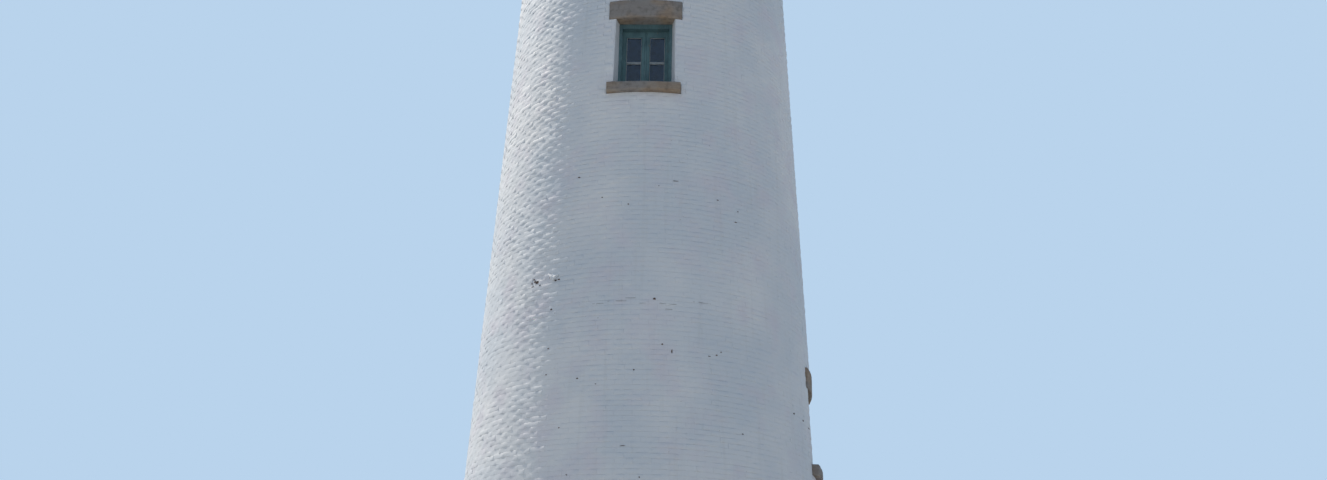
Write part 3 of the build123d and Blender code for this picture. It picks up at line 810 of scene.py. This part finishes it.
def dressDoor():
    # panel mouldings, frame bead, strap hinges and a lock plate with its knob
    sizes = inMetres(door)
    leafLow, leafHigh = localBox("door_leaf", "back")
    frameFace = localBox("door_frame", "back")[1].x
    face, leafHalf = leafHigh.x, leafHigh.y
    panelHalf = (2 * leafHalf - 3 * sizes.leafRail) / 4
    panelMiddle = panelHalf + sizes.leafRail / 2
    bead, lockLow = sizes.bead, leafLow.z - sizes.gap + sizes.lockLevel
    wood, iron = [], []
    for low, high in ((leafLow.z + sizes.lockRail, lockLow),
                      (lockLow + sizes.lockRail, leafHigh.z - sizes.leafRail)):
        for y in (-panelMiddle, panelMiddle):
            wood += raisedPanel(face, panelHalf, low, high, sizes, y)
    wood += stripFrame(frameFace + sizes.beadProud, leafHalf + bead, leafLow.z - bead, leafHigh.z + bead,
                       bead, sizes.beadDepth, chamfer=5)
    strapHalf = sizes.strapWidth / 2
    for z in (leafLow.z + sizes.strapLow, leafHigh.z - sizes.strapHigh):
        iron.append(softBox((face - sizes.seat, -leafHalf, z - strapHalf),
                            (face + sizes.strapDepth, -leafHalf + sizes.strapLength, z + strapHalf),
                            chamfer=2))
        for share in boltShares:
            iron.append(sideBolt(sizes.bolt, sizes.boltHeight, face + sizes.strapDepth,
                                 -leafHalf + share * sizes.strapLength, z))
    lockY, plateFace, r = leafHalf - sizes.leafRail / 2, face + sizes.plateDepth, sizes.knob / 2
    iron.append(slab(face - sizes.seat, plateFace, lockY, sizes.plateWidth / 2,
                     lockLow, lockLow + sizes.plateHeight, chamfer=2))
    outline = [(0, -sizes.tuck), (r * 0.6, -sizes.tuck)] + [(r * out, r * up) for out, up in knobShape]
    knob = placePart(turnedPart(outline, steps=16), outward)
    iron.append(placePart(knob, moved(plateFace, lockY, lockLow + knobLevel * sizes.plateHeight)))
    turn = sideTurns["back"]
    addPiece("door_mouldings", wood, oilPaintedPine, sharp=50, turn=turn)
    addPiece("door_ironwork", iron, blackPaintedIron, sharp=40, turn=turn)


dressDoor()
print("door dressed")


# Plinth of dressed limestone blocks

plinth = {  # mm, and counts of blocks and of the steps in their faces and core
    "blocks": 22, "joint": 10, "arris": 12, "depth": 60, "coreSet": 9, "coreTop": 1, "wash": 80,
    "lowerCourse": 270, "insets": (0.5, 3), "wallInner": 2138, "hollow": 5, "hollowPatch": 90,
    "columns": 15, "rows": 6, "steps": 72,
}


def sweptRing(outline, start, end, steps):
    # a closed solid from an outline of (radius, height) points swept round the axis between two angles
    points, size = [], len(outline)
    for angle in np.linspace(start, end, steps + 1):
        points += [polar(radius, angle, height) for radius, height in outline]
    faces = [face[::-1] for face in tubeFaces(size, steps + 1)]
    faces += [list(range(size)), [steps * size + i for i in range(size)][::-1]]
    return np.array(points), faces


def plinthBlock(left, right, rows, radiusAt):
    # one stone from its left to its right angle, through rows of (height, millimetres behind the face)
    joint, arris, core = (plinth[size] * mm for size in ("joint", "arris", "coreSet"))
    reach = radiusAt(rows[0][0])
    cut, ease = joint / 2 / reach, arris / reach
    across = np.linspace(left + cut + ease, right - cut - ease, plinth["columns"])
    angles = [left + cut, *across, right - cut]
    points = []
    for z, back in rows:
        for column, angle in enumerate(angles):
            rim = column in (0, len(angles) - 1) or back == plinth["coreSet"]
            spot = Vector(polar(reach, angle, z)) / (plinth["hollowPatch"] * mm)
            worn = (back + plinth["hollow"] * abs(noise.noise(spot))) * mm
            points.append(polar(radiusAt(z) - (core if rim else worn), angle, z))
    for z in (rows[0][0], rows[-1][0]):
        reach = radiusAt(z) - plinth["depth"] * mm
        points += [polar(reach, angle, z) for angle in angles]
    n, m = len(angles), len(rows)
    faces = [[r * n + c, r * n + c + 1, r * n + n + c + 1, r * n + n + c]
             for r in range(m - 1) for c in range(n - 1)]
    last, lower, upper = (m - 1) * n, m * n, m * n + n
    for c in range(n - 1):
        faces.append([lower + c, lower + c + 1, c + 1, c])
        faces.append([last + c, last + c + 1, upper + c + 1, upper + c])
        faces.append([lower + c + 1, lower + c, upper + c, upper + c + 1])
    ends = [r * n for r in range(m)]
    faces.append([lower, *ends, upper])
    faces.append([upper + n - 1, *[e + n - 1 for e in ends][::-1], lower + n - 1])
    return np.array(points), faces


def layPlinth():
    # two courses of long blocks round a core that shows only in their joints; the top slopes back
    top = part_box("foundation_plinth")[1]
    faceRadius, topRadius = top.x, shaftRadius(top.z)
    joint, arris, wash, split, coreSet, coreLow, inner = (plinth[size] * mm for size in (
        "joint", "arris", "wash", "lowerCourse", "coreSet", "coreTop", "wallInner"))
    half, washLow, coreTop, core = joint / 2, top.z - wash, top.z - coreLow, plinth["coreSet"]
    gate = math.asin(doorHalf / faceRadius)
    start, end = math.pi / 2 + gate, 2.5 * math.pi - gate

    def radiusAt(z):
        return faceRadius - (faceRadius - topRadius) * max(0, z - washLow) / (top.z - washLow)

    outline = [(faceRadius - coreSet, 0), (faceRadius - coreSet, washLow), (topRadius - coreSet, coreTop),
               (inner, coreTop), (inner, 0)]
    parts = [sweptRing(outline, start, end, plinth["steps"])]
    pitch = (end - start) / plinth["blocks"]
    lowerEdges = [start + pitch * i for i in range(plinth["blocks"] + 1)]
    upperEdges = [start] + [edge + pitch / 2 for edge in lowerEdges[:-1]] + [end]
    lowerLevels = np.linspace(0, split - half - arris, plinth["rows"])
    upperLevels = [*np.linspace(split + half + arris, washLow, plinth["rows"]),
                   washLow + (top.z - washLow) / 2, top.z]
    for edges, under, levels, over in ((lowerEdges, [], lowerLevels, [(split - half, core)]),
                                       (upperEdges, [(split + half, core)], upperLevels, [])):
        for left, right in zip(edges, edges[1:]):
            inset = rng.uniform(*plinth["insets"])
            rows = under + [(z, inset) for z in levels] + over
            parts.append(plinthBlock(left, right, rows, radiusAt))
    return parts


blocks = addPiece("plinth_blocks", layPlinth(), tooledLimestone, sharp=35)
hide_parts("foundation_plinth")
print("plinth laid")


# Gallery: deck seams, bolts and railing collars

gallery = {  # mm
    "postInset": 110, "seat": 1, "seamWidth": 60, "seamHeight": 5, "seamStart": 60, "seamStop": 30,
    "seamBolt": 16, "seamBoltHeight": 7, "seamBoltStart": 150, "seamBoltPitch": 140, "wallPlate": 16,
    "wallBolt": 26, "wallBoltHeight": 12, "wallBoltSide": 34, "wallBoltLow": 120, "wallBoltHigh": 100,
    "footPlate": 18, "footBolt": 16, "footBoltHeight": 9, "footBoltRing": 42, "collar": 44,
    "collarLength": 34, "collarReach": 17,
}
bays, seamBolts, wallBolts = 16, 5, 4  # round the tower, along a seam, up a bracket
railLevels = (340, 680, 1020)  # mm above the deck
collarShape = [(0, 0), (0.8, 0), (1, 0.2), (1, 0.8), (0.8, 1), (0, 1)]  # in half its width and its length


def dressGallery():
    # deck seams with their bolts, bolts at the brackets and the posts' feet, and collars on the rails
    sizes = inMetres(gallery)
    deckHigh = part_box("gallery_deck")[1]
    bracketLow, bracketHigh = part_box("gallery_brackets")
    deckTop, deckRadius = deckHigh.z, deckHigh.x
    seamTop, footTop = deckTop + sizes.seamHeight, deckTop + sizes.footPlate
    postRing = deckRadius - sizes.postInset
    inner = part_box("lantern_floor")[1].x
    step = 360 / bays
    seam = [slab(inner + sizes.seamStart, deckRadius - sizes.seamStop, 0, sizes.seamWidth / 2,
                 deckTop - sizes.seat, seamTop, chamfer=2)]
    for i in range(seamBolts):
        reach = inner + sizes.seamBoltStart + i * sizes.seamBoltPitch
        seam.append(uprightBolt(sizes.seamBolt, sizes.seamBoltHeight, reach, 0, seamTop))
    levels = np.linspace(bracketLow.z + sizes.wallBoltLow, bracketHigh.z - sizes.wallBoltHigh, wallBolts)
    bracket = [sideBolt(sizes.wallBolt, sizes.wallBoltHeight, friezeRadius + sizes.wallPlate, y, z)
               for y in (-sizes.wallBoltSide, sizes.wallBoltSide) for z in levels]
    for angle in np.radians([45, 135, 225, 315]):
        x, y, z = polar(sizes.footBoltRing, angle, footTop)
        bracket.append(uprightBolt(sizes.footBolt, sizes.footBoltHeight, postRing + x, y, z))
    iron = ringOf(seam, bays, step / 2) + ringOf(bracket, bays)
    addPiece("gallery_bolts_and_seams", iron, blackPaintedIron, sharp=40)

    apothem, half = polygonSide(postRing, bays)
    sleeve = turnedShape(collarShape, sizes.collar, sizes.collarLength, steps=12)
    collars = []
    for level in railLevels:
        for end in (-1, 1):
            along = placePart(sleeve, Matrix.Rotation(math.radians(-90 * end), 4, "X"))
            place = moved(apothem, -end * (half - sizes.collarReach), deckTop + level * mm)
            collars.append(placePart(along, place))
    sleeves = ringOf(collars, bays, step / 2)
    addPiece("railing_collars", sleeves, blackPaintedIron, sharp=40)


dressGallery()
print("gallery dressed")


# Lantern, its roof and ventilator

lanternSides = 10
lantern = {  # mm
    "mullion": 60, "wallSet": 30, "panelMargin": 110, "tuck": 2, "moulding": 22, "mouldingDepth": 12,
    "fieldMargin": 60, "fieldBack": 13, "fieldSet": 3, "fieldChamfer": 7, "bolt": 20, "boltHeight": 8,
    "boltEdge": 45, "boltEnd": 60, "glassSet": 10, "bead": 20, "beadDepth": 16, "beadTuck": 4,
    "mullionBoltSide": 16, "mullionBoltLow": 80, "mullionBoltHigh": 50, "mullionBoltPitch": 260,
}
wallBoltRows = 5  # up each edge of a panel
galleryDoor = {  # mm
    "seat": 1, "hinge": 16, "hingeLength": 90, "hingeEase": 2, "hingeDome": 4, "hingeOut": 4,
    "hingeLow": 160, "hingeHigh": 250, "strap": 200, "strapDepth": 5, "frame": 20, "frameProud": 4,
    "frameDepth": 8, "frameSide": 60, "frameEnd": 80, "handleSide": 90, "postLevel": 70, "post": 12,
    "postLength": 45, "gripBack": 33, "gripFront": 51, "grip": 10, "gripReach": 85,
}


def dressLantern():
    # raised panels and their bolts on each side but the door's, glazing beads, and bolts up the mullions
    sizes = inMetres(lantern)
    step = 360 / lanternSides
    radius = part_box("lantern_mullions")[1].x
    wallX, half = polygonSide(radius, lanternSides)
    wallX -= sizes.wallSet
    half -= sizes.mullion / 2
    wallLow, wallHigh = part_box("lantern_wall_panels")
    glassLow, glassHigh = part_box("lantern_glass")
    margin, side = sizes.panelMargin, sizes.mullionBoltSide
    panel = raisedPanel(wallX, half - margin, wallLow.z + margin, wallHigh.z - margin, sizes)
    for z in np.linspace(wallLow.z + sizes.boltEnd, wallHigh.z - sizes.boltEnd, wallBoltRows):
        for y in (sizes.boltEdge - half, half - sizes.boltEdge):
            panel.append(sideBolt(sizes.bolt, sizes.boltHeight, wallX, y, z))
    iron = ringOf(panel, lanternSides, -90)
    del iron[lanternSides // 2]
    beads = stripFrame(wallX - sizes.glassSet + sizes.beadDepth, half + sizes.beadTuck, glassLow.z,
                       glassHigh.z, sizes.bead, sizes.beadDepth, chamfer=3)
    iron += ringOf(beads, lanternSides, -90)
    levels = np.arange(glassLow.z + sizes.mullionBoltLow, glassHigh.z - sizes.mullionBoltHigh,
                       sizes.mullionBoltPitch)
    bolts = [sideBolt(sizes.bolt, sizes.boltHeight, radius, y, z) for y in (-side, side) for z in levels]
    iron += ringOf(bolts, lanternSides, -90 + step / 2)
    addPiece("lantern_panels_and_beads", iron, blackPaintedIron, sharp=40)


def dressGalleryDoor():
    # hinges with their straps, a raised frame, and a handle on two posts
    sizes = inMetres(galleryDoor)
    low, high = localBox("gallery_door", "back")
    face, back = high.x, high.x - sizes.seat
    r, length = sizes.hinge / 2, sizes.hingeLength
    hinge = turnedPart([(0, 0), (r, sizes.hingeEase), (r, length), (0, length + sizes.hingeDome)],
                       steps=8)
    fittings = []
    for z in (low.z + sizes.hingeLow, high.z - sizes.hingeHigh):
        fittings.append(placePart(hinge, moved(face + sizes.hingeOut, low.y, z)))
        fittings.append(softBox((back, low.y, z),
                                (face + sizes.strapDepth, low.y + sizes.strap, z + length), chamfer=2))
    fittings += stripFrame(face + sizes.frameProud, high.y - sizes.frameSide, low.z + sizes.frameEnd,
                           high.z - sizes.frameEnd, sizes.frame, sizes.frameDepth)
    y, middle = high.y - sizes.handleSide, (low.z + high.z) / 2
    for z in (middle - sizes.postLevel, middle + sizes.postLevel):
        fittings.append(slab(back, face + sizes.postLength, y, sizes.post, z - sizes.post,
                             z + sizes.post, chamfer=3))
    fittings.append(slab(face + sizes.gripBack, face + sizes.gripFront, y, sizes.grip,
                         middle - sizes.gripReach, middle + sizes.gripReach, chamfer=4))
    addPiece("gallery_door_fittings", fittings, blackPaintedIron, sharp=40,
             turn=sideTurns["back"])


roof = {  # mm
    "eaves": 1680, "eavesTop": 40, "topRadius": 240, "rise": 700, "tuck": 2, "seamWidth": 16,
    "seamHeight": 24, "seamOffset": 215, "seamStart": 30, "foot": 41.6, "footHeight": 4, "hipClear": 45,
    "rivet": 14, "rivetHeight": 6, "rivetPitch": 110, "rivetLevel": 45, "rivetClear": 30,
}
longestSeam = 0.94  # of the slope
ventilator = {  # mm
    "neck": 190, "neckRadius": 120, "band": 26, "bandBack": 12, "bandSet": 1, "hoopLow": 66,
    "hoopHigh": 16, "hoop": 24, "hoopFace": 8, "hoopInner": 118, "hoopOuter": 132, "hoodFoot": 60,
    "hoodRadius": 122, "hoodBack": 6, "hoodProud": 12, "hoodWidth": 52, "hoodHeight": 56,
}
hoods, hoodSlope = 8, 18  # round the neck, and degrees that each leans
bandFace = 0.7  # of the band's height


def hoop(level, inner, outer, height, face, steps):
    # a ring with eased edges round the ventilator, filled to its axis
    half, flat = height / 2, face / 2
    return turnedPart([(0, level - half), (inner, level - half), (outer, level - flat),
                       (outer, level + flat), (inner, level + half), (0, level + half)], steps)


def dressRoof():
    # standing seams up each plate, rivets above the eaves, and bands and hooded vents on the ventilator
    sizes, vent = inMetres(roof), inMetres(ventilator)
    foot, halfFoot = polygonSide(sizes.eaves, lanternSides)
    head, halfHead = polygonSide(sizes.topRadius, lanternSides)
    angle = math.atan2(sizes.rise, foot - head)
    length = math.hypot(sizes.rise, foot - head)
    up, out = (-math.cos(angle), 0, math.sin(angle)), (math.sin(angle), 0, math.cos(angle))
    slope = Matrix((up, (0, -1, 0), out)).transposed().to_4x4()
    plate = moved(foot, 0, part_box("lantern_roof")[0].z + sizes.eavesTop) @ slope
    offsets = (-sizes.seamOffset, 0, sizes.seamOffset)
    parts = []
    for offset in offsets:
        reach = (halfFoot - abs(offset) - sizes.hipClear) / (halfFoot - halfHead)
        end = length * min(reach, longestSeam)
        for width, height, chamfer in ((sizes.seamWidth, sizes.seamHeight, 4),
                                       (sizes.foot, sizes.footHeight, 2)):
            parts.append(slab(sizes.seamStart, end, offset, width / 2, -sizes.tuck, height, chamfer))
    count = int(2 * (halfFoot - sizes.hipClear) / sizes.rivetPitch)
    for i in range(count + 1):
        y = (i - count / 2) * sizes.rivetPitch
        if min(abs(y - offset) for offset in offsets) > sizes.rivetClear:
            parts.append(uprightBolt(sizes.rivet, sizes.rivetHeight, sizes.rivetLevel, y, 0))
    sheets = ringOf([placePart(joinParts(parts), plate)], lanternSides, -90)

    low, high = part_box("roof_ventilator")
    ball = (high.x - low.x) / 2
    neckTop = low.z + vent.neck
    middle = neckTop + math.sqrt(ball ** 2 - vent.neckRadius ** 2)
    rings = [hoop(middle, ball - vent.bandBack, ball - vent.bandSet, vent.band,
                  bandFace * vent.band, steps=48)]
    for level in (low.z + vent.hoopLow, neckTop - vent.hoopHigh):
        rings.append(hoop(level, vent.hoopInner, vent.hoopOuter, vent.hoop, vent.hoopFace, steps=32))
    rise = vent.hoodHeight / 2
    hood = slab(-vent.hoodBack, vent.hoodProud, 0, vent.hoodWidth / 2, -rise, rise, chamfer=3)
    hood = placePart(hood, Matrix.Rotation(math.radians(hoodSlope), 4, "Y"))
    hoodLevel = (low.z + vent.hoodFoot + neckTop) / 2
    rings += ringOf([placePart(hood, moved(vent.hoodRadius, 0, hoodLevel))], hoods)
    addPiece("roof_seams_and_rivets", sheets + rings, redOxideIron, sharp=35)


dressLantern()
dressGalleryDoor()
dressRoof()
print("lantern and roof dressed")


# CAD nodes keep their shapes and take the same finishes; the first name that fits counts

finishes = {
    "lantern_glass": plateGlass, "lantern_roof": redOxideIron, "lantern_": blackPaintedIron,
    "wall_": paintedJoint, "brick_frieze": paintedJoint, "foundation_plinth": tooledLimestone,
    "ground_floor": tooledLimestone, "door_threshold": tooledLimestone, "window_frame": oilPaintedPine,
    "window_casements": oilPaintedPine, "door_frame": oilPaintedPine, "door_leaf": oilPaintedPine,
    "window_glass": drawnGlassPaintedSky, "roof_ventilator": redOxideIron, "gallery_": blackPaintedIron,
    "railing_": blackPaintedIron, "_lintel": sawnSandstone, "_sill": sawnSandstone,
}
for name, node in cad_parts.items():
    match = next((material for part, material in finishes.items() if part in name), None)
    node.data.materials.clear()
    node.data.materials.append(match)
print("finishes given to", len(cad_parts), "nodes")


# Floor, light and camera

studio = {  # metres and degrees; the key lamp's bearing is from the camera's
    "floor": "#BFBDB8", "backdrop": "#B9D3EC", "floorSize": 3000, "sky": "#C8DCF5", "skyStrength": 0.47,
    "keyColour": "#FFF6EA", "keyStrength": 3.3, "keyBearing": -124, "keyHeight": 48, "keySoftness": 3,
}
camera = {  # metres and degrees: where the photo was taken from and how it was held; lens in mm
    "distance": 19.5, "bearing": 2.6, "eye": 1.6, "pitch": 21.571, "heading": 1.866, "roll": 1.0917,
    "lens": 37.438, "sensor": 36,
}
paleConcrete = {  # trowelled smooth: an even pale floor, faintly patchy
    "constants": {"Roughness": 0.9}, "ground": studio["floor"],
    "coats": [(4000, 0.3, 0.7, 0.15, studio["backdrop"])],
}


def layFloor():
    mesh = bpy.data.meshes.new("studio_floor")
    half = studio["floorSize"] / 2
    corners = [(-half, -half, 0), (half, -half, 0), (half, half, 0), (-half, half, 0)]
    mesh.from_pydata(corners, [], [(0, 1, 2, 3)])
    mesh.materials.append(makeMaterial("paleTrowelledConcrete", paleConcrete))
    addObject("studio_floor", mesh)


def lightStudio():
    # one soft lamp behind the tower's left shoulder and an even pale sky, shown brighter than it lights
    world = bpy.data.worlds.new("softStudio")
    bpy.context.scene.world = world
    world.use_nodes = True
    tree = world.node_tree
    background = tree.nodes["Background"]
    seen = addNode(tree, "ShaderNodeLightPath", {})
    shown = seen["Is Camera Ray"]
    for ray in ("Is Glossy Ray", "Is Transmission Ray"):
        shown = addNode(tree, "ShaderNodeMath", {0: shown, 1: seen[ray]}, operation="MAXIMUM")[0]
    colour = addNode(tree, "ShaderNodeMix", {
        mixFactor: shown, mixFrom: hexColour(studio["sky"]), mixTo: hexColour(studio["backdrop"]),
    }, data_type="RGBA")[2]
    strength = addNode(tree, "ShaderNodeMapRange", {
        "Value": shown, "To Min": studio["skyStrength"], "To Max": 1.0})[0]
    tree.links.new(colour, background.inputs["Color"])
    tree.links.new(strength, background.inputs["Strength"])
    lamp = bpy.data.lights.new("keyLamp", "SUN")
    lamp.energy = studio["keyStrength"]
    lamp.angle = math.radians(studio["keySoftness"])
    lamp.color = hexColour(studio["keyColour"])[:3]
    key = addObject("keyLamp", lamp)
    angle = math.radians(camera["bearing"] - 90 + studio["keyBearing"])
    rise = math.radians(studio["keyHeight"])
    towards = Vector(polar(math.cos(rise), angle, math.sin(rise)))
    key.rotation_mode = "QUATERNION"
    key.rotation_quaternion = towards.to_track_quat("Z", "Y")


def placeCamera():
    # a hand-held camera low in front of the tower, tilted up and a little askew
    data = bpy.data.cameras.new("photoCamera")
    data.lens = camera["lens"]
    data.sensor_width = camera["sensor"]
    data.sensor_fit = "HORIZONTAL"
    data.dof.use_dof = False
    eye = addObject("photoCamera", data)
    place = moved(*polar(camera["distance"], math.radians(camera["bearing"] - 90), camera["eye"]))
    tilt = Matrix.Rotation(math.radians(90 + camera["pitch"]), 4, "X")
    eye.matrix_world = place @ turned(camera["heading"]) @ tilt @ turned(camera["roll"])
    bpy.context.scene.camera = eye


layFloor()
lightStudio()
placeCamera()
bpy.context.scene.view_settings.view_transform = "Standard"
print("studio ready")
